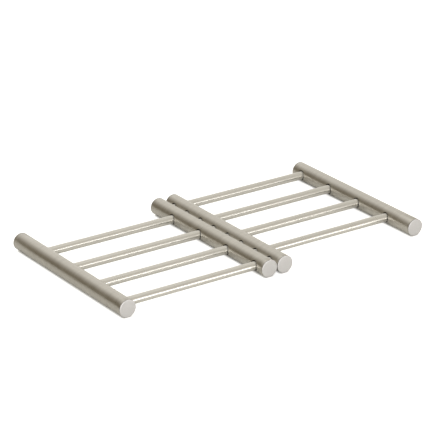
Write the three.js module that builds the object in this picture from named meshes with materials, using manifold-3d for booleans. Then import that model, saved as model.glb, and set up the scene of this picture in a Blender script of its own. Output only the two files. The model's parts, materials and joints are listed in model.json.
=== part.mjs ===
// Expanding trivet of stainless steel, in millimetres, +Z up.
// Two frames lie in each other like two combs. Each frame has an outer bar, an inner bar and four
// rods that tie them together, and the rods of each frame run on through the other's inner bar.
// The trivet grows as the frames slide apart, until the two inner bars meet in the middle.
// It is drawn opened out, standing on the plane Z = 0, with its middle over the origin.

import * as THREE from "three";
import { mergeVertices } from "three/addons/utils/BufferGeometryUtils.js";
import Module from "manifold-3d";

const wasm = await Module();
wasm.setup();

// Driving dimensions of the two frames
const BAR_DIAMETER = 19;
const BAR_LENGTH = 208;
const BAR_WALL = 1.2;
const ROD_DIAMETER = 9.3;
const FRAME_SPAN = 191.4; // from the axis of a frame's outer bar to the axis of its inner bar
const INNER_BAR_GAP = 0.5; // between the two inner bars, as drawn
const END_ROD_INSET = 15.5; // from the end of a bar to the axis of the rod next to it
const RODS_PER_FRAME = 4;

// Clearances
const SEAT_CLEARANCE = 0.9; // round a rod in the hole that holds it
const RUNNING_CLEARANCE = 0.95; // round a rod in the hole that it slides through
const ROD_END_CLEARANCE = 0.3; // from the rim of a rod's end to the far side of the bore
const PLUG_CLEARANCE = 0.3; // round a cap's plug in the bore

// End caps and rod ends
const CAP_FLANGE_THICKNESS = 1;
const CAP_CHAMFER = 0.6;
const PLUG_LENGTH = 5;
const PLUG_CHAMFER = 0.6;
const ROD_END_CHAMFER = 0.5;

// Facets. Counts are multiples of four, so that flat sides face up, down and sideways.
const BAR_SIDES = 36;
const ROD_SIDES = 24;
const CUT_OVERRUN = 1;
const MERGE_DISTANCE = 1e-4;

// Sizes and places that follow from them
const barRadius = BAR_DIAMETER / 2;
const boreRadius = barRadius - BAR_WALL;
const rodRadius = ROD_DIAMETER / 2;
const tubeLength = BAR_LENGTH - 2 * CAP_FLANGE_THICKNESS;
const innerBarX = (BAR_DIAMETER + INNER_BAR_GAP) / 2;
const outerBarX = innerBarX - FRAME_SPAN;
const endRodY = BAR_LENGTH / 2 - END_ROD_INSET;
const rodPitch = (2 * endRodY) / (2 * RODS_PER_FRAME - 1);
const rodYs = Array.from({ length: RODS_PER_FRAME }, (_, i) => 2 * i * rodPitch - endRodY);
const passingRodYs = rodYs.map((y) => -y);

const steel = {
  bar: { color: 0xb4b0a6, roughness: 0.42, metalness: 1 },
  rod: { color: 0xc8c3b6, roughness: 0.24, metalness: 1 },
  cap: { color: 0xc9c4c1, roughness: 0.55, metalness: 1 },
};

// A round piece on the Y axis, turned from [radius, place along Y] points in rising order.
// Its flat sides touch the true radius from outside, and one of them faces straight down.
function turned(profile, sides) {
  const halfSide = Math.PI / sides;
  const points = profile.map(([radius, y]) => new THREE.Vector2(radius / Math.cos(halfSide), y));
  return new THREE.LatheGeometry(points, sides, halfSide);
}

// A plain round stock, centred on the origin, with both ends chamfered.
function roundStock(radius, length, chamfer, sides) {
  const half = length / 2;
  const profile = [
    [0, -half],
    [radius - chamfer, -half],
    [radius, -half + chamfer],
    [radius, half - chamfer],
    [radius - chamfer, half],
    [0, half],
  ];
  return turned(profile, sides);
}

function solidOf(geometry) {
  geometry.deleteAttribute("normal");
  geometry.deleteAttribute("uv");
  const merged = mergeVertices(geometry, MERGE_DISTANCE);
  const vertProperties = merged.getAttribute("position").array;
  const triVerts = new Uint32Array(merged.index.array);
  return new wasm.Manifold(new wasm.Mesh({ numProp: 3, vertProperties, triVerts }));
}

function geometryOf(solid) {
  const { vertProperties, triVerts } = solid.getMesh();
  const geometry = new THREE.BufferGeometry();
  geometry.setAttribute("position", new THREE.BufferAttribute(vertProperties, 3));
  geometry.setIndex(new THREE.BufferAttribute(triVerts, 1));
  geometry.computeVertexNormals();
  return geometry;
}

function makePiece(name, geometry, finish) {
  const material = new THREE.MeshStandardMaterial({ ...steel[finish], flatShading: true });
  const piece = new THREE.Mesh(geometry, material);
  piece.name = name;
  return piece;
}

// The drill for one hole: it runs along X from one place to another, at one place along Y.
function drill(clearance, fromX, toX, y) {
  const length = toX - fromX;
  const geometry = roundStock(rodRadius + clearance, length, 0, ROD_SIDES);
  geometry.rotateZ(-Math.PI / 2);
  geometry.translate(fromX + length / 2, y, 0);
  return solidOf(geometry);
}

// A bar's tube, with seats drilled through one wall only, on the side that faces its frame's rods,
// and running holes drilled through both walls.
function tubeGeometry(seatSide, seatYs, runningYs) {
  const half = tubeLength / 2;
  const profile = [
    [boreRadius, -half],
    [barRadius, -half],
    [barRadius, half],
    [boreRadius, half],
    [boreRadius, -half],
  ];
  const outside = barRadius + CUT_OVERRUN;
  const seatFrom = Math.min(0, seatSide * outside);
  const seatTo = Math.max(0, seatSide * outside);
  const seats = seatYs.map((y) => drill(SEAT_CLEARANCE, seatFrom, seatTo, y));
  const runningHoles = runningYs.map((y) => drill(RUNNING_CLEARANCE, -outside, outside, y));
  const blank = solidOf(turned(profile, BAR_SIDES));
  return geometryOf([...seats, ...runningHoles].reduce((tube, hole) => tube.subtract(hole), blank));
}

// An end cap: a flange as wide as the bar, and a plug that reaches into the bore towards -Y.
function capGeometry() {
  const plugRadius = boreRadius - PLUG_CLEARANCE;
  const profile = [
    [0, -PLUG_LENGTH],
    [plugRadius - PLUG_CHAMFER, -PLUG_LENGTH],
    [plugRadius, PLUG_CHAMFER - PLUG_LENGTH],
    [plugRadius, 0],
    [barRadius, 0],
    [barRadius, CAP_FLANGE_THICKNESS - CAP_CHAMFER],
    [barRadius - CAP_CHAMFER, CAP_FLANGE_THICKNESS],
    [0, CAP_FLANGE_THICKNESS],
  ];
  return turned(profile, BAR_SIDES);
}

// A tube with its two caps, on an axis along Y at the given place along X. The ends are the words
// for its -Y end and its +Y end.
function makeBar(name, x, geometry, [nearEnd, farEnd]) {
  const bar = new THREE.Group();
  bar.position.set(x, 0, barRadius);
  bar.add(makePiece(name, geometry, "bar"));
  const nearCap = makePiece(`${name}_${nearEnd}_cap`, capGeometry(), "cap");
  nearCap.position.y = -tubeLength / 2;
  nearCap.rotation.z = Math.PI;
  const farCap = makePiece(`${name}_${farEnd}_cap`, capGeometry(), "cap");
  farCap.position.y = tubeLength / 2;
  bar.add(nearCap, farCap);
  return bar;
}

// A frame's rods, numbered in rising order along Y. Each one ends inside both of its bars, just
// short of the far side of the bore.
function makeRods(side, numbers) {
  const reach = Math.sqrt(boreRadius ** 2 - rodRadius ** 2) - ROD_END_CLEARANCE;
  const length = FRAME_SPAN + 2 * reach;
  return rodYs.map((y, i) => {
    const geometry = roundStock(rodRadius, length, ROD_END_CHAMFER, ROD_SIDES);
    geometry.rotateZ(-Math.PI / 2);
    const rod = makePiece(`${side}_rod_${numbers[i]}`, geometry, "rod");
    rod.position.set((outerBarX + innerBarX) / 2, y, barRadius);
    return rod;
  });
}

// One frame, seen with its outer bar on the -X side. The other frame's rods pass its inner bar.
function makeFrame(side, ends, rodNumbers) {
  const frame = new THREE.Group();
  frame.add(makeBar(`${side}_outer_bar`, outerBarX, tubeGeometry(1, rodYs, []), ends));
  frame.add(makeBar(`${side}_inner_bar`, innerBarX, tubeGeometry(-1, rodYs, passingRodYs), ends));
  frame.add(...makeRods(side, rodNumbers));
  return frame;
}

// The two frames are alike. The right one is the left one turned half round, so its -Y ends come
// to lie at the rear, and its rods are numbered backwards, to count from the front as well.
const fromFront = rodYs.map((_, i) => i + 1);
const leftFrame = makeFrame("left", ["front", "rear"], fromFront);
const rightFrame = makeFrame("right", ["rear", "front"], fromFront.toReversed());
rightFrame.rotation.z = Math.PI;

const trivet = new THREE.Group();
trivet.add(leftFrame, rightFrame);

export default trivet;
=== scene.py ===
# An expanding trivet of stainless steel: brushed tubes, satin rods and matt end caps, in metres.
# Two frames of two tubes and four rods each lie in each other like combs. Every tube, rod and cap
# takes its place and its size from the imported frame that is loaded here.
import json
import math

import bmesh
import bpy
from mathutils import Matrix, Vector


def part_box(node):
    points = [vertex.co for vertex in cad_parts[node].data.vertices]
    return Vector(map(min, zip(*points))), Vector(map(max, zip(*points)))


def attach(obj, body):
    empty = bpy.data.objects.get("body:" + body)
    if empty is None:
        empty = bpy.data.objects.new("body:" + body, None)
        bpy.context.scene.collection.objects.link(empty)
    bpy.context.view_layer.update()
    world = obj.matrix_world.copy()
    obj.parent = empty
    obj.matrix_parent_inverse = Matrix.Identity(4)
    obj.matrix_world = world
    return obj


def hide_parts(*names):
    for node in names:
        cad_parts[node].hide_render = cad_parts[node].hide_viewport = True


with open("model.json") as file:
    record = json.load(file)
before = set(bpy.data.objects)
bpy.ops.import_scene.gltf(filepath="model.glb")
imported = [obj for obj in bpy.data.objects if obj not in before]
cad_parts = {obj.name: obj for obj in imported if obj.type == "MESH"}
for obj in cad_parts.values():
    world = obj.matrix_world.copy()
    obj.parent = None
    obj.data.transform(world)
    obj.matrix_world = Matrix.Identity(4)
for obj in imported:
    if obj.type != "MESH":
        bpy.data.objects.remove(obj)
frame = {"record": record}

bl_info = {
    "name": "Expanding Trivet",
    "version": (1, 0, 0),
    "blender": (4, 5, 0),
    "location": "3D View > Sidebar > Trivet",
    "description": "Expanding trivet of brushed tubes, satin rods and matt caps, with its studio",
    "category": "Add Mesh",
}

MM = 0.001

# The frame's own names: every tube with its body, and the words that mark rods and caps
BODIES = ("left_frame", "right_frame")
TUBES = {
    "left_frame": ("left_outer_bar", "left_inner_bar"),
    "right_frame": ("right_inner_bar", "right_outer_bar"),
}
ROD_WORD = "_rod_"
CAP_WORDS = ("_front_cap", "_rear_cap")

# Meshes
MERGE_DISTANCE = 0.001 * MM
SHARP_ANGLE = math.radians(40)
HOLE_RINGS = 5  # of faces, from a hole to the plain tube round it
BREAK_SHARES = (0.0, 0.3, 1.0)  # along a rounded edge, from the tube's outside to its hole
RIM_STEPS = 6  # round the rim of a cap
FLOOR_SIDES = 64
# Marks the faces inside the outer skin (the bore, the holes' walls and the tube ends), which take
# the painted shade
PAINTED_SHADE_MARK = "bore"
UV_NAME = "UVMap"

# Grain of the steels
LINE_DETAIL = 7.0
LINE_ROUGHNESS = 0.7
CLOUD_DETAIL = 2.0
CLOUD_SCALE = 60.0  # clouds to the metre
NOISE_MIDDLE = 0.5
RELIEF_DEPTH = 0.02 * MM
ALONG_THE_ROD = 0.25  # a quarter turn from the tangent, which runs round the rod

# Sockets of a Mix node that mixes colours
MIX_FIRST = 6
MIX_SECOND = 7
MIX_RESULT = 2

# Light that the camera sees past the floor
WHITE = (1, 1, 1, 1)

# Places and sizes of the lamps, in metres
OVERHEAD_LAMP = {
    "azimuth": math.radians(100), "elevation": math.radians(80), "distance": 1.6,
    "width": 1.2, "height": 1.2,
}
WINDOW_LAMP = {
    "azimuth": math.radians(-5), "elevation": math.radians(7.2), "distance": 1.8,
    "width": 3.6, "height": 0.26,
}

# Places of the nodes in the node editor
NODES_IN_A_ROW = 8
NODE_WIDTH = 180
NODE_HEIGHT = 220


class TrivetSizes(bpy.types.PropertyGroup):
    """Sizes that the frame's boxes don't tell, and how finely the round pieces are divided."""

    wall: bpy.props.FloatProperty(
        name="Tube wall", description="Thickness of a tube's wall",
        default=1.2 * MM, unit="LENGTH", subtype="DISTANCE", precision=4,
    )
    seat_clearance: bpy.props.FloatProperty(
        name="Seat clearance", description="Round a rod in the hole that holds it",
        default=0.9 * MM, unit="LENGTH", subtype="DISTANCE", precision=5,
    )
    running_clearance: bpy.props.FloatProperty(
        name="Running clearance", description="Round a rod in the hole that it slides through",
        default=0.95 * MM, unit="LENGTH", subtype="DISTANCE", precision=5,
    )
    edge_break: bpy.props.FloatProperty(
        name="Edge break", description="How far the edges of holes and tube ends are rounded off",
        default=0.15 * MM, unit="LENGTH", subtype="DISTANCE", precision=5,
    )
    plug_clearance: bpy.props.FloatProperty(
        name="Plug clearance", description="Round a cap's plug in the bore of its tube",
        default=0.3 * MM, unit="LENGTH", subtype="DISTANCE", precision=5,
    )
    seam: bpy.props.FloatProperty(
        name="Seam", description="Open joint between a cap's flange and the end of its tube",
        default=0.4 * MM, unit="LENGTH", subtype="DISTANCE", precision=5,
    )
    rim_width: bpy.props.FloatProperty(
        name="Cap rim width", description="How far in from its edge a cap's face is rounded over",
        default=1.0 * MM, unit="LENGTH", subtype="DISTANCE", precision=5,
    )
    rim_height: bpy.props.FloatProperty(
        name="Cap rim height", description="How far back along its edge a cap is rounded over",
        default=0.4 * MM, unit="LENGTH", subtype="DISTANCE", precision=5,
    )
    rod_chamfer: bpy.props.FloatProperty(
        name="Rod chamfer", description="Chamfer on the ends of the rods and of the caps' plugs",
        default=0.5 * MM, unit="LENGTH", subtype="DISTANCE", precision=5,
    )
    hole_margin: bpy.props.FloatProperty(
        name="Hole margin", description="Ring of finer mesh between a hole and the plain tube",
        default=2.4 * MM, unit="LENGTH", subtype="DISTANCE", precision=4,
    )
    wall_angle: bpy.props.FloatProperty(
        name="Drilled wall", description="Half of the angle that a tube's drilled side takes up",
        default=math.radians(60), unit="ROTATION", subtype="ANGLE",
    )
    facet_angle: bpy.props.FloatProperty(
        name="Facet angle", description="Angle of one facet round a tube",
        default=math.radians(5), unit="ROTATION", subtype="ANGLE",
    )
    turned_sides: bpy.props.IntProperty(
        name="Turned sides", description="Facets round a rod or a cap", default=72, min=12,
    )


class TrivetFinish(bpy.types.PropertyGroup):
    """Colours and gloss of the three kinds of steel, and the shade painted near black inside the
    tubes.
    """

    tube_colour: bpy.props.FloatVectorProperty(
        name="Tube colour", description="Brushed steel of the tubes",
        default=(0.6, 0.575, 0.525), size=3, min=0, max=1, subtype="COLOR",
    )
    # Painted shade: near black, darker than any steel, put on the faces inside the outer skin (the
    # bore, the holes' walls and the tube ends) to stand in for the shade inside the tubes
    bore_painted_shade: bpy.props.FloatVectorProperty(
        name="Bore colour", description="Dull steel inside the tubes, as it came from the mill",
        default=(0.08, 0.075, 0.07), size=3, min=0, max=1, subtype="COLOR",
    )
    rod_colour: bpy.props.FloatVectorProperty(
        name="Rod colour", description="Satin steel of the rods",
        default=(0.82, 0.8, 0.755), size=3, min=0, max=1, subtype="COLOR",
    )
    cap_colour: bpy.props.FloatVectorProperty(
        name="Cap colour", description="Matt steel of the end caps",
        default=(0.735, 0.72, 0.72), size=3, min=0, max=1, subtype="COLOR",
    )
    tube_roughness: bpy.props.FloatProperty(
        name="Tube roughness", description="How matt the brushed tubes are",
        default=0.31, min=0, max=1, subtype="FACTOR",
    )
    rod_roughness: bpy.props.FloatProperty(
        name="Rod roughness", description="How matt the satin rods are",
        default=0.28, min=0, max=1, subtype="FACTOR",
    )
    rod_anisotropy: bpy.props.FloatProperty(
        name="Rod anisotropy", description="How far the rods draw out a highlight along them",
        default=0.9, min=0, max=1, subtype="FACTOR",
    )
    cap_roughness: bpy.props.FloatProperty(
        name="Cap roughness", description="How matt the end caps are",
        default=0.5, min=0, max=1, subtype="FACTOR",
    )


class TrivetStudio(bpy.types.PropertyGroup):
    """Camera, lamps, floor and surroundings."""

    camera_azimuth: bpy.props.FloatProperty(
        name="Camera azimuth",
        description="0 looks along +Y, and below 0 the camera stands further left",
        default=math.radians(-34.85), unit="ROTATION", subtype="ANGLE",
    )
    camera_elevation: bpy.props.FloatProperty(
        name="Camera elevation", description="Angle of the camera above the floor",
        default=math.radians(22.5), unit="ROTATION", subtype="ANGLE",
    )
    camera_distance: bpy.props.FloatProperty(
        name="Camera distance", description="From the camera to the point that it looks at",
        default=2.47, unit="LENGTH", subtype="DISTANCE",
    )
    camera_target: bpy.props.FloatVectorProperty(
        name="Camera target", description="The point in the middle of the picture",
        default=(0.0201, 0.0207, 0.0095), size=3, subtype="TRANSLATION", precision=4,
    )
    camera_lens: bpy.props.FloatProperty(
        name="Camera lens", description="Focal length in millimetres", default=185.7, min=1,
    )
    surroundings: bpy.props.FloatVectorProperty(
        name="Surroundings", description="Light of the pale studio walls and ceiling",
        default=(0.97, 0.95, 0.9), size=3, min=0, max=1, subtype="COLOR",
    )
    dim_side: bpy.props.FloatVectorProperty(
        name="Dim side", description="Light of the studio's right side",
        default=(0.57, 0.545, 0.485), size=3, min=0, max=1, subtype="COLOR",
    )
    dim_direction: bpy.props.FloatVectorProperty(
        name="Dim direction", description="Where the dim part of the studio lies",
        default=(0.72, -0.19, 0.67), size=3, subtype="DIRECTION",
    )
    dim_core: bpy.props.FloatProperty(
        name="Dim core", description="Half width of the dimmest part",
        default=math.radians(20), unit="ROTATION", subtype="ANGLE",
    )
    dim_reach: bpy.props.FloatProperty(
        name="Dim reach", description="How far from its middle the dim part fades out",
        default=math.radians(72), unit="ROTATION", subtype="ANGLE",
    )
    dark_side: bpy.props.FloatVectorProperty(
        name="Dark side", description="Light of the part of the studio that is left dark",
        default=(0.21, 0.18, 0.13), size=3, min=0, max=1, subtype="COLOR",
    )
    dark_direction: bpy.props.FloatVectorProperty(
        name="Dark direction", description="Where the dark part of the studio lies",
        default=(-0.72, 0.69, -0.12), size=3, subtype="DIRECTION",
    )
    dark_core: bpy.props.FloatProperty(
        name="Dark core", description="Half width of the darkest part",
        default=math.radians(14), unit="ROTATION", subtype="ANGLE",
    )
    dark_reach: bpy.props.FloatProperty(
        name="Dark reach", description="How far from its middle the dark part fades out",
        default=math.radians(77), unit="ROTATION", subtype="ANGLE",
    )
    floor_colour: bpy.props.FloatVectorProperty(
        name="Floor colour", description="Pale floor", default=(0.86, 0.86, 0.84), size=3,
        min=0, max=1, subtype="COLOR",
    )
    floor_roughness: bpy.props.FloatProperty(
        name="Floor roughness", description="How matt the satin floor is",
        default=0.2, min=0, max=1, subtype="FACTOR",
    )
    floor_glow: bpy.props.FloatProperty(
        name="Floor glow", description="Added to the floor as the camera sees it, over its shadow",
        default=0.8, min=0, max=1,
    )
    floor_reflection: bpy.props.FloatProperty(
        name="Floor reflection", description="Added to the floor as the steel reflects it",
        default=0.06, min=0, max=1,
    )
    contact_reach: bpy.props.FloatProperty(
        name="Contact reach", description="How close to the steel the floor loses its added light",
        default=2.1 * MM, unit="LENGTH", subtype="DISTANCE", precision=4,
    )
    floor_radius: bpy.props.FloatProperty(
        name="Floor radius", description="How far the floor reaches", default=30.0, unit="LENGTH",
        subtype="DISTANCE",
    )
    overhead_power: bpy.props.FloatProperty(
        name="Overhead lamp", description="Power of the wide lamp over the trivet in watts",
        default=1.0, min=0,
    )
    window_power: bpy.props.FloatProperty(
        name="Window lamp", description="Power of the low lamp at the front in watts",
        default=10.0, min=0,
    )


# Places of the pieces, read from the frame


class Stock:
    """One tube or rod of the frame: its name, its box, its radius and its centre."""

    def __init__(self, name):
        low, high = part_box(name)
        self.name = name
        self.low = low
        self.high = high
        self.radius = (high.z - low.z) / 2
        self.centre = (low + high) / 2


def rods_of(body):
    """The rods that ride on a body, from the front to the rear."""
    names = frame["record"]["behaviour"]["bodies"][body]
    rods = [Stock(name) for name in names if ROD_WORD in name]
    return sorted(rods, key=lambda rod: rod.centre.y)


def holes_in(tube, sizes):
    """Every hole in a tube as (which wall, place along Y, radius). A rod that goes right through
    runs in a hole in both walls, and one that ends in the tube sits in a hole in one wall."""
    holes = []
    for rod in [rod for body in BODIES for rod in rods_of(body)]:
        if rod.low.x < tube.low.x and rod.high.x > tube.high.x:
            walls = (-1, 1)
            clearance = sizes.running_clearance
        elif rod.low.x < tube.high.x and rod.high.x > tube.low.x:
            walls = (1 if rod.centre.x > tube.centre.x else -1,)
            clearance = sizes.seat_clearance
        else:
            continue
        holes += [(wall, rod.centre.y, rod.radius + clearance) for wall in walls]
    return holes


# Objects and meshes


def new_object(name, data):
    """A new object in the scene that shows a mesh, a lamp or a camera."""
    made = bpy.data.objects.new(name, data)
    bpy.context.scene.collection.objects.link(made)
    return made


def spread(start, end, steps):
    """Evenly spread values from start to end, both included."""
    return [start + (end - start) * i / steps for i in range(steps + 1)]


class Shell:
    """Collects the faces of a closed shell. Points that coincide are merged at the end."""

    def __init__(self):
        self.points = []
        self.faces = []

    def rows(self, rows):
        """Faces between rows of points, each row as long as the next."""
        first = len(self.points)
        width = len(rows[0])
        for row in rows:
            self.points.extend(row)
        for i in range(len(rows) - 1):
            for j in range(width - 1):
                corner = first + i * width + j
                self.faces.append((corner, corner + 1, corner + width + 1, corner + width))

    def finish(self, name, sharp_angle, is_inside):
        """A new object with the shell as its mesh, closed, facing out and shaded smooth. Its faces
        carry a mark of 1 where is_inside says that the centre of the face is in the bore."""
        mesh = bpy.data.meshes.new(name)
        mesh.from_pydata(self.points, [], self.faces)
        shell = bmesh.new()
        shell.from_mesh(mesh)
        bmesh.ops.remove_doubles(shell, verts=shell.verts, dist=MERGE_DISTANCE)
        bmesh.ops.recalc_face_normals(shell, faces=shell.faces)
        shell.to_mesh(mesh)
        shell.free()
        mesh.shade_smooth()
        marks = mesh.attributes.new(PAINTED_SHADE_MARK, "FLOAT", "FACE")
        marks.data.foreach_set("value", [float(is_inside(face.center)) for face in mesh.polygons])
        mesh.set_sharp_from_angle(angle=sharp_angle)
        return new_object(name, mesh)


class TubeSkin:
    """The mesh of a tube: its outside and its bore, in plain strips and a patch round each hole."""

    def __init__(self, tube, sizes):
        self.tube = tube
        self.sizes = sizes
        self.bore = tube.radius - sizes.wall
        self.holes = holes_in(tube, sizes)
        self.shell = Shell()
        self.half_wall = sizes.wall_angle
        self.wall_steps = round(2 * self.half_wall / sizes.facet_angle)
        self.deltas = spread(-self.half_wall, self.half_wall, self.wall_steps)
        self.reach = max(radius for _, _, radius in self.holes) + sizes.hole_margin
        self.patch_steps = round(2 * self.reach / (tube.radius * sizes.facet_angle))

    def on_tube(self, radius, y, angle):
        """A point on the tube, at an angle from the +X side round to the top."""
        x = self.tube.centre.x + radius * math.cos(angle)
        return (x, y, self.tube.centre.z + radius * math.sin(angle))

    def on_wall(self, radius, y, wall, delta):
        """A point on one of the two drilled walls, at an angle up from its middle."""
        return self.on_tube(radius, y, delta if wall > 0 else math.pi - delta)

    def stretches(self):
        """The tube from end to end as (start, end, place of the holes or None) along Y."""
        places = sorted({y for _, y, _ in self.holes})
        start = self.tube.low.y + self.sizes.edge_break
        parts = []
        for place in places:
            parts.append((start, place - self.reach, None))
            parts.append((place - self.reach, place + self.reach, place))
            start = place + self.reach
        parts.append((start, self.tube.high.y - self.sizes.edge_break, None))
        return parts

    def columns(self, part):
        """The places along Y of the points of a stretch."""
        start, end, place = part
        return spread(start, end, 1 if place is None else self.patch_steps)

    def edge_loop(self, part):
        """The (place along Y, angle) of each point round the edge of a patch, closed."""
        ys = self.columns(part)
        low, high = self.deltas[0], self.deltas[-1]
        loop = [(y, low) for y in ys[:-1]]
        loop += [(ys[-1], delta) for delta in self.deltas[:-1]]
        loop += [(y, high) for y in reversed(ys[1:])]
        loop += [(ys[0], delta) for delta in reversed(self.deltas[1:])]
        return loop + loop[:1]

    def drilled_patch(self, part, wall, place, hole):
        """A patch with a hole: the outside, the rounded edge, the hole's own wall and the bore."""
        outside, bore, centre = self.tube.radius, self.bore, self.tube.centre
        edge = self.edge_loop(part)
        turns = [math.atan2(delta * outside, y - place) for y, delta in edge]

        def skin(radius, opening):
            """Rings on the skin of that radius, from an opening out to the edge of the patch."""
            rim = [
                (opening * math.cos(t), math.asin(opening * math.sin(t) / radius)) for t in turns
            ]
            rows = []
            for share in spread(0, 1, HOLE_RINGS):
                row = []
                for (dy, angle), (y, delta) in zip(rim, edge):
                    at_y = place + dy + (y - place - dy) * share
                    row.append(self.on_wall(radius, at_y, wall, angle + (delta - angle) * share))
                rows.append(row)
            return rows

        def ring(radius, opening, depth):
            """One ring of the hole's own surface, sunk into the skin of that radius."""
            row = []
            for t in turns:
                z = opening * math.sin(t)
                x = wall * (math.sqrt(radius ** 2 - z ** 2) - depth)
                row.append((centre.x + x, place + opening * math.cos(t), centre.z + z))
            return row

        edge_break = self.sizes.edge_break
        outer = skin(outside, hole + edge_break)
        rounded = [
            ring(outside, hole + edge_break * (1 - math.sin(share * math.pi / 2)),
                 edge_break * (1 - math.cos(share * math.pi / 2)))
            for share in BREAK_SHARES
        ]
        self.shell.rows(outer)
        self.shell.rows(rounded)
        self.shell.rows([rounded[-1], ring(bore, hole, 0)])
        self.shell.rows(skin(bore, hole))

    def build(self):
        """The whole tube as one closed shell."""
        top = spread(self.half_wall, math.pi - self.half_wall, self.wall_steps // 2)
        bottom = [-angle for angle in top]
        for part in self.stretches():
            ys, place = self.columns(part), part[-1]
            for radius in (self.tube.radius, self.bore):
                for angles in (top, bottom):
                    self.shell.rows([[self.on_tube(radius, y, a) for y in ys] for a in angles])
            for wall in (-1, 1):
                found = [hole for side, y, hole in self.holes if side == wall and y == place]
                if found:
                    self.drilled_patch(part, wall, place, found[0])
                    continue
                for radius in (self.tube.radius, self.bore):
                    rows = [[self.on_wall(radius, y, wall, d) for y in ys] for d in self.deltas]
                    self.shell.rows(rows)
        self.ends(top, bottom)
        return self.shell

    def in_bore(self, point):
        """Whether a point lies deeper in the tube than its rounded edges reach."""
        off_axis = math.hypot(point.x - self.tube.centre.x, point.z - self.tube.centre.z)
        return off_axis < self.tube.radius - self.sizes.edge_break

    def ends(self, top, bottom):
        """The rounded outer edge and the flat ring at each end of the tube."""
        rest = [math.pi - delta for delta in reversed(self.deltas)]
        around = self.deltas[:-1] + top[:-1] + rest[:-1]
        around += [2 * math.pi + angle for angle in reversed(bottom)]
        radius, edge_break = self.tube.radius, self.sizes.edge_break
        part_way = edge_break * BREAK_SHARES[1]
        for end, inward in ((self.tube.low.y, 1), (self.tube.high.y, -1)):
            rings = (
                (radius, end + inward * edge_break), (radius - part_way, end + inward * part_way),
                (radius - edge_break, end), (self.bore, end),
                (self.bore, end + inward * edge_break),
            )
            self.shell.rows([[self.on_tube(r, y, a) for a in around] for r, y in rings])


# Nodes, and Geometry Nodes for the turned pieces


def add_node(tree, kind, **settings):
    """A new node with its settings, set beside the last one."""
    node = tree.nodes.new(kind)
    for key, value in settings.items():
        setattr(node, key, value)
    row, column = divmod(len(tree.nodes), NODES_IN_A_ROW)
    node.location = (NODE_WIDTH * column, -NODE_HEIGHT * row)
    return node


def feed(tree, socket, value):
    """Links another node's socket to an input, or sets a plain value on it."""
    if isinstance(value, bpy.types.NodeSocket):
        tree.links.new(value, socket)
    else:
        socket.default_value = value


def set_inputs(tree, node, **values):
    """Sets or links a node's inputs by name, with _ for a space."""
    for key, value in values.items():
        feed(tree, node.inputs[key.replace("_", " ")], value)


def maths(tree, operation, first, second=0.0, kind="ShaderNodeMath"):
    """The result of a sum on two sockets or values."""
    node = add_node(tree, kind, operation=operation)
    feed(tree, node.inputs[0], first)
    feed(tree, node.inputs[1], second)
    return node.outputs[0]


def mixed(tree, factor, first, second):
    """A colour that goes from the first to the second as the factor goes from 0 to 1."""
    node = add_node(tree, "ShaderNodeMix", data_type="RGBA")
    feed(tree, node.inputs["Factor"], factor)
    feed(tree, node.inputs[MIX_FIRST], first)
    feed(tree, node.inputs[MIX_SECOND], second)
    return node.outputs[MIX_RESULT]


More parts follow.
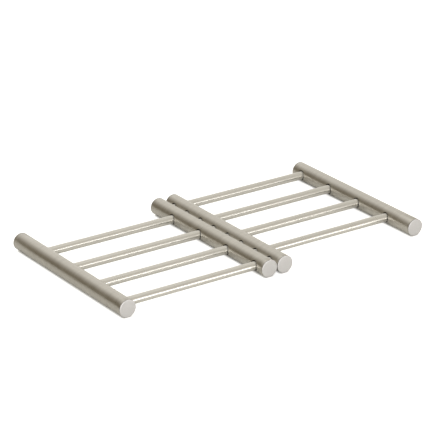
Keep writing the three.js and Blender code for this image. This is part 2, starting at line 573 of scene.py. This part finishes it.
def lathe_group(name):
    """Geometry node group: turns a profile round the Y axis. X is the radius and Y the place."""
    tree = bpy.data.node_groups.new(name, "GeometryNodeTree")
    face = tree.interface
    face.new_socket("Profile", in_out="INPUT", socket_type="NodeSocketGeometry")
    face.new_socket("Sides", in_out="INPUT", socket_type="NodeSocketInt")
    face.new_socket("Sharp Angle", in_out="INPUT", socket_type="NodeSocketFloat")
    face.new_socket("Merge Distance", in_out="INPUT", socket_type="NodeSocketFloat")
    face.new_socket("Piece", in_out="OUTPUT", socket_type="NodeSocketGeometry")
    given = add_node(tree, "NodeGroupInput")
    count = add_node(tree, "GeometryNodeAttributeDomainSize", component="MESH")
    set_inputs(tree, count, Geometry=given.outputs["Profile"])
    points = count.outputs["Point Count"]
    grid = add_node(tree, "GeometryNodeMeshGrid")
    ring = maths(tree, "ADD", given.outputs["Sides"], 1, kind="FunctionNodeIntegerMath")
    set_inputs(tree, grid, Vertices_X=ring, Vertices_Y=points)
    mapped = add_node(tree, "GeometryNodeStoreNamedAttribute", data_type="FLOAT2", domain="CORNER")
    set_inputs(
        tree, mapped, Geometry=grid.outputs["Mesh"], Name=UV_NAME, Value=grid.outputs["UV Map"],
    )
    index = add_node(tree, "GeometryNodeInputIndex").outputs["Index"]
    step = maths(tree, "DIVIDE_FLOOR", index, points, kind="FunctionNodeIntegerMath")
    place = maths(tree, "MODULO", index, points, kind="FunctionNodeIntegerMath")
    position = add_node(tree, "GeometryNodeInputPosition").outputs["Position"]
    sampled = add_node(tree, "GeometryNodeSampleIndex", data_type="FLOAT_VECTOR", domain="POINT")
    set_inputs(tree, sampled, Geometry=given.outputs["Profile"], Value=position, Index=place)
    profile = add_node(tree, "ShaderNodeSeparateXYZ")
    set_inputs(tree, profile, Vector=sampled.outputs["Value"])
    share = maths(tree, "DIVIDE", step, given.outputs["Sides"])
    turn = maths(tree, "MULTIPLY", share, -2 * math.pi)  # backwards, so that the faces look out
    around = add_node(tree, "ShaderNodeCombineXYZ")
    set_inputs(
        tree, around,
        X=maths(tree, "MULTIPLY", profile.outputs["X"], maths(tree, "COSINE", turn)),
        Y=profile.outputs["Y"],
        Z=maths(tree, "MULTIPLY", profile.outputs["X"], maths(tree, "SINE", turn)),
    )
    placed = add_node(tree, "GeometryNodeSetPosition")
    set_inputs(tree, placed, Geometry=mapped.outputs["Geometry"], Position=around.outputs["Vector"])
    merged = add_node(tree, "GeometryNodeMergeByDistance")
    set_inputs(
        tree, merged, Geometry=placed.outputs["Geometry"], Distance=given.outputs["Merge Distance"],
    )
    smooth = add_node(tree, "GeometryNodeSetShadeSmooth", domain="FACE")
    set_inputs(tree, smooth, Geometry=merged.outputs["Geometry"], Shade_Smooth=True)
    angle = add_node(tree, "GeometryNodeInputMeshEdgeAngle").outputs["Unsigned Angle"]
    sharp = add_node(tree, "GeometryNodeSetShadeSmooth", domain="EDGE")
    set_inputs(
        tree, sharp, Geometry=smooth.outputs["Geometry"], Shade_Smooth=False,
        Selection=maths(tree, "GREATER_THAN", angle, given.outputs["Sharp Angle"]),
    )
    result = add_node(tree, "NodeGroupOutput")
    set_inputs(tree, result, Piece=sharp.outputs["Geometry"])
    return tree


def row_tree(name, lathe, both_ends):
    """Geometry node tree: turned pieces in a row, and where both_ends is set, the same row again,
    turned half round about a centre, so that each piece has a partner at the other end."""
    tree = bpy.data.node_groups.new(name, "GeometryNodeTree")
    tree.is_modifier = True
    face = tree.interface
    face.new_socket("Geometry", in_out="OUTPUT", socket_type="NodeSocketGeometry")
    face.new_socket("Geometry", in_out="INPUT", socket_type="NodeSocketGeometry")
    sockets = [
        ("Sides", "NodeSocketInt"), ("Sharp Angle", "NodeSocketFloat"),
        ("Merge Distance", "NodeSocketFloat"), ("Count", "NodeSocketInt"),
        ("First Place", "NodeSocketVector"), ("Step", "NodeSocketVector"),
        ("Turn", "NodeSocketVector"), ("Finish", "NodeSocketMaterial"),
    ]
    if both_ends:
        sockets.append(("Centre", "NodeSocketVector"))
    for label, kind in sockets:
        face.new_socket(label, in_out="INPUT", socket_type=kind)
    given = add_node(tree, "NodeGroupInput").outputs
    piece = add_node(tree, "GeometryNodeGroup", node_tree=lathe)
    set_inputs(
        tree, piece, Profile=given["Geometry"], Sides=given["Sides"],
        Sharp_Angle=given["Sharp Angle"], Merge_Distance=given["Merge Distance"],
    )
    line = add_node(tree, "GeometryNodeMeshLine", mode="OFFSET")
    set_inputs(
        tree, line, Count=given["Count"], Start_Location=given["First Place"], Offset=given["Step"],
    )
    turn = add_node(tree, "FunctionNodeEulerToRotation")
    set_inputs(tree, turn, Euler=given["Turn"])
    row = add_node(tree, "GeometryNodeInstanceOnPoints")
    set_inputs(
        tree, row, Points=line.outputs["Mesh"], Instance=piece.outputs["Piece"],
        Rotation=turn.outputs["Rotation"],
    )
    instances = row.outputs["Instances"]
    if both_ends:
        double = add_node(tree, "ShaderNodeVectorMath", operation="SCALE")
        set_inputs(tree, double, Vector=given["Centre"], Scale=2.0)
        partner = add_node(tree, "GeometryNodeTransform")
        set_inputs(tree, partner, Geometry=instances, Translation=double.outputs["Vector"])
        partner.inputs["Rotation"].default_value = (0, 0, math.pi)
        joined = add_node(tree, "GeometryNodeJoinGeometry")
        tree.links.new(instances, joined.inputs["Geometry"])
        tree.links.new(partner.outputs["Geometry"], joined.inputs["Geometry"])
        instances = joined.outputs["Geometry"]
    real = add_node(tree, "GeometryNodeRealizeInstances")
    set_inputs(tree, real, Geometry=instances)
    finish = add_node(tree, "GeometryNodeSetMaterial")
    set_inputs(tree, finish, Geometry=real.outputs["Geometry"], Material=given["Finish"])
    result = add_node(tree, "NodeGroupOutput")
    set_inputs(tree, result, Geometry=finish.outputs["Geometry"])
    return tree


def turned_row(name, profile, tree, **values):
    """An object whose mesh is a profile put through a row tree. Values are set on its inputs."""
    mesh = bpy.data.meshes.new(name)
    edges = [(i, i + 1) for i in range(len(profile) - 1)]
    mesh.from_pydata([(radius, y, 0) for radius, y in profile], edges, [])
    piece = new_object(name, mesh)
    modifier = piece.modifiers.new("Row", "NODES")
    modifier.node_group = tree
    inputs = [item for item in tree.interface.items_tree if item.in_out == "INPUT"]
    sockets = {item.name: item.identifier for item in inputs}
    for key, value in values.items():
        modifier[sockets[key.replace("_", " ")]] = value
    bpy.context.view_layer.update()
    evaluated = piece.evaluated_get(bpy.context.evaluated_depsgraph_get())
    made = bpy.data.meshes.new_from_object(evaluated)
    piece.modifiers.clear()
    piece.data = made
    made.name = name
    made.materials.pop(index=0)  # the empty slot of the bare profile
    return piece


def node_tree(name, build, *args):
    """The node tree of that name, built the first time that it is asked for."""
    return bpy.data.node_groups.get(name) or build(name, *args)


# Finishes


def grain_group(name):
    """Shader node group: fine lines from brushing or grinding, and soft clouds, over a colour."""
    tree = bpy.data.node_groups.new(name, "ShaderNodeTree")
    face = tree.interface
    for label, kind in (
        ("Vector", "NodeSocketVector"), ("Lines", "NodeSocketVector"),
        ("Cloud Scale", "NodeSocketFloat"), ("Colour", "NodeSocketColor"),
        ("Line Contrast", "NodeSocketFloat"), ("Cloud Contrast", "NodeSocketFloat"),
        ("Roughness", "NodeSocketFloat"), ("Roughness Spread", "NodeSocketFloat"),
    ):
        face.new_socket(label, in_out="INPUT", socket_type=kind)
    for label, kind in (
        ("Colour", "NodeSocketColor"), ("Roughness", "NodeSocketFloat"),
        ("Height", "NodeSocketFloat"),
    ):
        face.new_socket(label, in_out="OUTPUT", socket_type=kind)
    given = add_node(tree, "NodeGroupInput").outputs
    stretched = add_node(tree, "ShaderNodeVectorMath", operation="MULTIPLY")
    tree.links.new(given["Vector"], stretched.inputs[0])
    tree.links.new(given["Lines"], stretched.inputs[1])
    lines = add_node(tree, "ShaderNodeTexNoise")
    set_inputs(
        tree, lines, Vector=stretched.outputs["Vector"], Scale=1.0, Detail=LINE_DETAIL,
        Roughness=LINE_ROUGHNESS,
    )
    clouds = add_node(tree, "ShaderNodeTexNoise")
    set_inputs(
        tree, clouds, Vector=given["Vector"], Scale=given["Cloud Scale"], Detail=CLOUD_DETAIL,
    )
    line = maths(tree, "SUBTRACT", lines.outputs["Fac"], NOISE_MIDDLE)
    cloud = maths(tree, "SUBTRACT", clouds.outputs["Fac"], NOISE_MIDDLE)
    shade = maths(
        tree, "ADD", maths(tree, "MULTIPLY", line, given["Line Contrast"]),
        maths(tree, "MULTIPLY", cloud, given["Cloud Contrast"]),
    )
    tint = add_node(tree, "ShaderNodeVectorMath", operation="SCALE")
    set_inputs(tree, tint, Vector=given["Colour"], Scale=maths(tree, "ADD", shade, 1.0))
    rough = maths(tree, "MULTIPLY", maths(tree, "ADD", line, cloud), given["Roughness Spread"])
    result = add_node(tree, "NodeGroupOutput")
    set_inputs(
        tree, result, Colour=tint.outputs["Vector"], Height=lines.outputs["Fac"],
        Roughness=maths(tree, "ADD", given["Roughness"], rough),
    )
    return tree


def steel(name, colour, roughness, lines, line_contrast, cloud_contrast, roughness_spread, bump):
    """A steel finish. Lines is how many grains a metre holds along X, Y and Z."""
    material = bpy.data.materials.new(name)
    material.use_nodes = True
    tree = material.node_tree
    shader = tree.nodes["Principled BSDF"]
    where = add_node(tree, "ShaderNodeTexCoord")
    grain = add_node(tree, "ShaderNodeGroup", node_tree=node_tree("Steel grain", grain_group))
    set_inputs(
        tree, grain, Vector=where.outputs["Object"], Lines=lines, Cloud_Scale=CLOUD_SCALE,
        Colour=(*colour, 1), Line_Contrast=line_contrast, Cloud_Contrast=cloud_contrast,
        Roughness=roughness, Roughness_Spread=roughness_spread,
    )
    relief = add_node(tree, "ShaderNodeBump")
    set_inputs(tree, relief, Height=grain.outputs["Height"], Strength=bump, Distance=RELIEF_DEPTH)
    set_inputs(
        tree, shader, Base_Color=grain.outputs["Colour"], Roughness=grain.outputs["Roughness"],
        Normal=relief.outputs["Normal"], Metallic=1.0,
    )
    return material


def tube_steel(finish):
    """Brushed steel, with its lines running round the tube, and the faces inside its outer skin
    painted near black as shade.
    """
    material = steel(
        "brushed_tube_steel", finish.tube_colour, finish.tube_roughness, lines=(40, 500, 40),
        line_contrast=0.42, cloud_contrast=0.1, roughness_spread=0.12, bump=0.25,
    )
    tree = material.node_tree
    base = tree.nodes["Principled BSDF"].inputs["Base Color"]
    # Painted shade: the faces marked as inside the tube take a near-black colour in place of the
    # steel
    mark = add_node(tree, "ShaderNodeAttribute", attribute_name=PAINTED_SHADE_MARK)
    grain = base.links[0].from_socket
    feed(tree, base, mixed(tree, mark.outputs["Fac"], grain, (*finish.bore_painted_shade, 1)))
    return material


def rod_steel(finish):
    """Satin steel, ground round the rod in fine lines that draw out each highlight along it."""
    material = steel(
        "satin_rod_steel", finish.rod_colour, finish.rod_roughness, lines=(900, 25, 25),
        line_contrast=0.08, cloud_contrast=0.05, roughness_spread=0.03, bump=0.015,
    )
    tree = material.node_tree
    shader = tree.nodes["Principled BSDF"]
    around = add_node(tree, "ShaderNodeTangent", direction_type="UV_MAP", uv_map=UV_NAME)
    set_inputs(
        tree, shader, Tangent=around.outputs["Tangent"], Anisotropic=finish.rod_anisotropy,
        Anisotropic_Rotation=ALONG_THE_ROD,
    )
    return material


def cap_steel(finish):
    """Matt steel of the end caps, fine and even in all directions."""
    return steel(
        "matt_cap_steel", finish.cap_colour, finish.cap_roughness, lines=(900, 900, 900),
        line_contrast=0.08, cloud_contrast=0.06, roughness_spread=0.08, bump=0.2,
    )


# Tubes and rods


class TRIVET_OT_tubes(bpy.types.Operator):
    """Make the four drilled tubes of brushed steel"""

    bl_idname = "trivet.make_tubes"
    bl_label = "Make Tubes"

    def execute(self, context):
        sizes = context.scene.trivet_sizes
        material = tube_steel(context.scene.trivet_finish)
        for body in BODIES:
            for bar in TUBES[body]:
                skin = TubeSkin(Stock(bar), sizes)
                name = bar.replace("_bar", "_tube")
                piece = skin.build().finish(name, SHARP_ANGLE, skin.in_bore)
                piece.data.materials.append(material)
                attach(piece, body)
                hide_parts(bar)
        return {"FINISHED"}


class TRIVET_OT_rods(bpy.types.Operator):
    """Make the eight satin rods, four to a frame"""

    bl_idname = "trivet.make_rods"
    bl_label = "Make Rods"

    def execute(self, context):
        sizes = context.scene.trivet_sizes
        material = rod_steel(context.scene.trivet_finish)
        lathe = node_tree("Turned piece", lathe_group)
        tree = node_tree("Rods in a row", row_tree, lathe, False)
        for body in BODIES:
            rods = rods_of(body)
            first = rods[0]
            half = (first.high.x - first.low.x) / 2
            chamfer = sizes.rod_chamfer
            profile = [
                (0, -half), (first.radius - chamfer, -half), (first.radius, chamfer - half),
                (first.radius, half - chamfer), (first.radius - chamfer, half), (0, half),
            ]
            piece = turned_row(
                body.replace("_frame", "_rods"), profile, tree, Sides=sizes.turned_sides,
                Sharp_Angle=SHARP_ANGLE, Merge_Distance=MERGE_DISTANCE, Count=len(rods),
                First_Place=first.centre, Step=rods[1].centre - first.centre,
                Turn=(0, 0, -math.pi / 2), Finish=material,
            )
            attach(piece, body)
            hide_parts(*[rod.name for rod in rods])
        return {"FINISHED"}


# Caps


def cap_profile(tube, sizes):
    """A rear cap, from its plug's end out to its face, as (radius, place from the tube's end)."""
    low, high = max((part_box(tube.name + word) for word in CAP_WORDS), key=lambda box: box[1].y)
    plug = tube.radius - sizes.wall - sizes.plug_clearance
    flange = high.y - tube.high.y
    reach = tube.high.y - low.y
    profile = [
        (0, -reach), (plug - sizes.rod_chamfer, -reach), (plug, sizes.rod_chamfer - reach),
        (plug, sizes.seam), (tube.radius - sizes.edge_break, sizes.seam),
        (tube.radius, sizes.seam + sizes.edge_break),
    ]
    for share in spread(0, 1, RIM_STEPS):
        turn = share * math.pi / 2
        radius = tube.radius - sizes.rim_width * (1 - math.cos(turn))
        profile.append((radius, flange - sizes.rim_height * (1 - math.sin(turn))))
    profile.append((0, flange))
    return profile


class TRIVET_OT_caps(bpy.types.Operator):
    """Make the eight end caps, one in each end of each tube"""

    bl_idname = "trivet.make_caps"
    bl_label = "Make Caps"

    def execute(self, context):
        sizes = context.scene.trivet_sizes
        material = cap_steel(context.scene.trivet_finish)
        lathe = node_tree("Turned piece", lathe_group)
        tree = node_tree("Caps at both ends", row_tree, lathe, True)
        for body in BODIES:
            first, last = [Stock(bar) for bar in TUBES[body]]
            place = Vector((first.centre.x, first.high.y, first.centre.z))
            middle = (first.centre + last.centre) / 2
            piece = turned_row(
                body.replace("_frame", "_caps"), cap_profile(first, sizes), tree,
                Sides=sizes.turned_sides, Sharp_Angle=SHARP_ANGLE, Merge_Distance=MERGE_DISTANCE,
                Count=2, First_Place=place, Step=last.centre - first.centre, Turn=(0, 0, 0),
                Centre=(middle.x, middle.y, 0), Finish=material,
            )
            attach(piece, body)
            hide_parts(*[bar + word for bar in TUBES[body] for word in CAP_WORDS])
        return {"FINISHED"}


# Studio


def darkened(tree, direction, light, colour, centre, core, reach):
    """Another light in the part of the surroundings round a centre, faded out from its core."""
    nearness = add_node(tree, "ShaderNodeVectorMath", operation="DOT_PRODUCT")
    feed(tree, nearness.inputs[0], direction)
    feed(tree, nearness.inputs[1], Vector(centre).normalized())
    fade = add_node(tree, "ShaderNodeMapRange", interpolation_type="SMOOTHSTEP")
    set_inputs(
        tree, fade, Value=nearness.outputs["Value"], From_Min=math.cos(reach),
        From_Max=math.cos(core),
    )
    return mixed(tree, fade.outputs["Result"], light, (*colour, 1))


def studio_world(studio):
    """Pale surroundings with a dim side and a dark side. The camera sees plain white."""
    world = bpy.data.worlds.new("Studio")
    bpy.context.scene.world = world
    world.use_nodes = True
    tree = world.node_tree
    background = tree.nodes["Background"]
    direction = add_node(tree, "ShaderNodeTexCoord").outputs["Generated"]
    walls = add_node(tree, "ShaderNodeRGB").outputs["Color"]
    walls.default_value = (*studio.surroundings, 1)
    walls = darkened(
        tree, direction, walls, studio.dim_side,
        studio.dim_direction, studio.dim_core, studio.dim_reach,
    )
    walls = darkened(
        tree, direction, walls, studio.dark_side,
        studio.dark_direction, studio.dark_core, studio.dark_reach,
    )
    path = add_node(tree, "ShaderNodeLightPath")
    seen = mixed(tree, path.outputs["Is Camera Ray"], walls, WHITE)
    set_inputs(tree, background, Color=seen, Strength=1.0)


def studio_floor(studio):
    """A pale satin floor. Light is added to it for the camera and for reflections, which leaves the
    shadow on it, and fades out close to the steel."""
    material = bpy.data.materials.new("pale_floor")
    material.use_nodes = True
    tree = material.node_tree
    tree.nodes.clear()
    satin = add_node(tree, "ShaderNodeBsdfPrincipled")
    set_inputs(tree, satin, Base_Color=(*studio.floor_colour, 1), Roughness=studio.floor_roughness)
    path = add_node(tree, "ShaderNodeLightPath").outputs
    glow = add_node(tree, "ShaderNodeEmission")
    added = maths(
        tree, "ADD", maths(tree, "MULTIPLY", path["Is Camera Ray"], studio.floor_glow),
        maths(tree, "MULTIPLY", path["Is Glossy Ray"], studio.floor_reflection),
    )
    contact = add_node(tree, "ShaderNodeAmbientOcclusion")
    set_inputs(tree, contact, Distance=studio.contact_reach)
    set_inputs(tree, glow, Strength=maths(tree, "MULTIPLY", added, contact.outputs["AO"]))
    both = add_node(tree, "ShaderNodeAddShader")
    tree.links.new(satin.outputs["BSDF"], both.inputs[0])
    tree.links.new(glow.outputs["Emission"], both.inputs[1])
    output = add_node(tree, "ShaderNodeOutputMaterial")
    tree.links.new(both.outputs["Shader"], output.inputs["Surface"])
    disc = bmesh.new()
    bmesh.ops.create_circle(
        disc, cap_ends=True, segments=FLOOR_SIDES, radius=studio.floor_radius,
    )
    mesh = bpy.data.meshes.new("floor")
    disc.to_mesh(mesh)
    disc.free()
    mesh.materials.append(material)
    floor = new_object("floor", mesh)


def aimed(name, data, target, azimuth, elevation, distance):
    """A lamp or camera that looks at a target. At azimuth 0 it looks along +Y, and below 0 it
    stands further left."""
    level = math.cos(elevation)
    back = Vector((math.sin(azimuth) * level, -math.cos(azimuth) * level, math.sin(elevation)))
    made = new_object(name, data)
    made.location = Vector(target) + back * distance
    made.rotation_euler = back.to_track_quat("Z", "Y").to_euler()
    return made


def lamp(name, power, azimuth, elevation, distance, width, height):
    """A rectangular lamp that faces the middle of the trivet."""
    data = bpy.data.lights.new(name, "AREA")
    data.shape = "RECTANGLE"
    data.size = width
    data.size_y = height
    data.energy = power
    aimed(name, data, (0, 0, 0), azimuth, elevation, distance)


def studio_camera(studio):
    """The camera at the photograph's viewing angle."""
    data = bpy.data.cameras.new("camera")
    data.lens = studio.camera_lens
    bpy.context.scene.camera = aimed(
        "camera", data, studio.camera_target, studio.camera_azimuth, studio.camera_elevation,
        studio.camera_distance,
    )


class TRIVET_OT_studio(bpy.types.Operator):
    """Make the camera, the lamps, the floor and the surroundings"""

    bl_idname = "trivet.make_studio"
    bl_label = "Make Studio"

    def execute(self, context):
        studio = context.scene.trivet_studio
        context.scene.view_settings.view_transform = "Standard"
        studio_camera(studio)
        studio_world(studio)
        studio_floor(studio)
        lamp("overhead_lamp", studio.overhead_power, **OVERHEAD_LAMP)
        lamp("window_lamp", studio.window_power, **WINDOW_LAMP)
        return {"FINISHED"}


# Panel and registration


class TRIVET_PT_panel(bpy.types.Panel):
    """Sizes, finishes and studio of the trivet, and the buttons that make it"""

    bl_idname = "TRIVET_PT_panel"
    bl_label = "Expanding Trivet"
    bl_space_type = "VIEW_3D"
    bl_region_type = "UI"
    bl_category = "Trivet"

    def draw(self, context):
        layout = self.layout
        scene = context.scene
        for group in (scene.trivet_sizes, scene.trivet_finish, scene.trivet_studio):
            box = layout.box()
            for name in group.__annotations__:
                box.prop(group, name)
        for operator in OPERATORS:
            layout.operator(operator.bl_idname)


GROUPS = {"trivet_sizes": TrivetSizes, "trivet_finish": TrivetFinish, "trivet_studio": TrivetStudio}
OPERATORS = (TRIVET_OT_studio, TRIVET_OT_tubes, TRIVET_OT_rods, TRIVET_OT_caps)


def register():
    for name, group in GROUPS.items():
        bpy.utils.register_class(group)
        setattr(bpy.types.Scene, name, bpy.props.PointerProperty(type=group))
    for kind in (*OPERATORS, TRIVET_PT_panel):
        bpy.utils.register_class(kind)


def unregister():
    for kind in (TRIVET_PT_panel, *reversed(OPERATORS)):
        bpy.utils.unregister_class(kind)
    for name, group in GROUPS.items():
        delattr(bpy.types.Scene, name)
        bpy.utils.unregister_class(group)


def main():
    register()
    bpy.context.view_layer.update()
    bpy.ops.trivet.make_studio()
    bpy.ops.trivet.make_tubes()
    bpy.ops.trivet.make_rods()
    bpy.ops.trivet.make_caps()


if __name__ == "__main__":
    main()
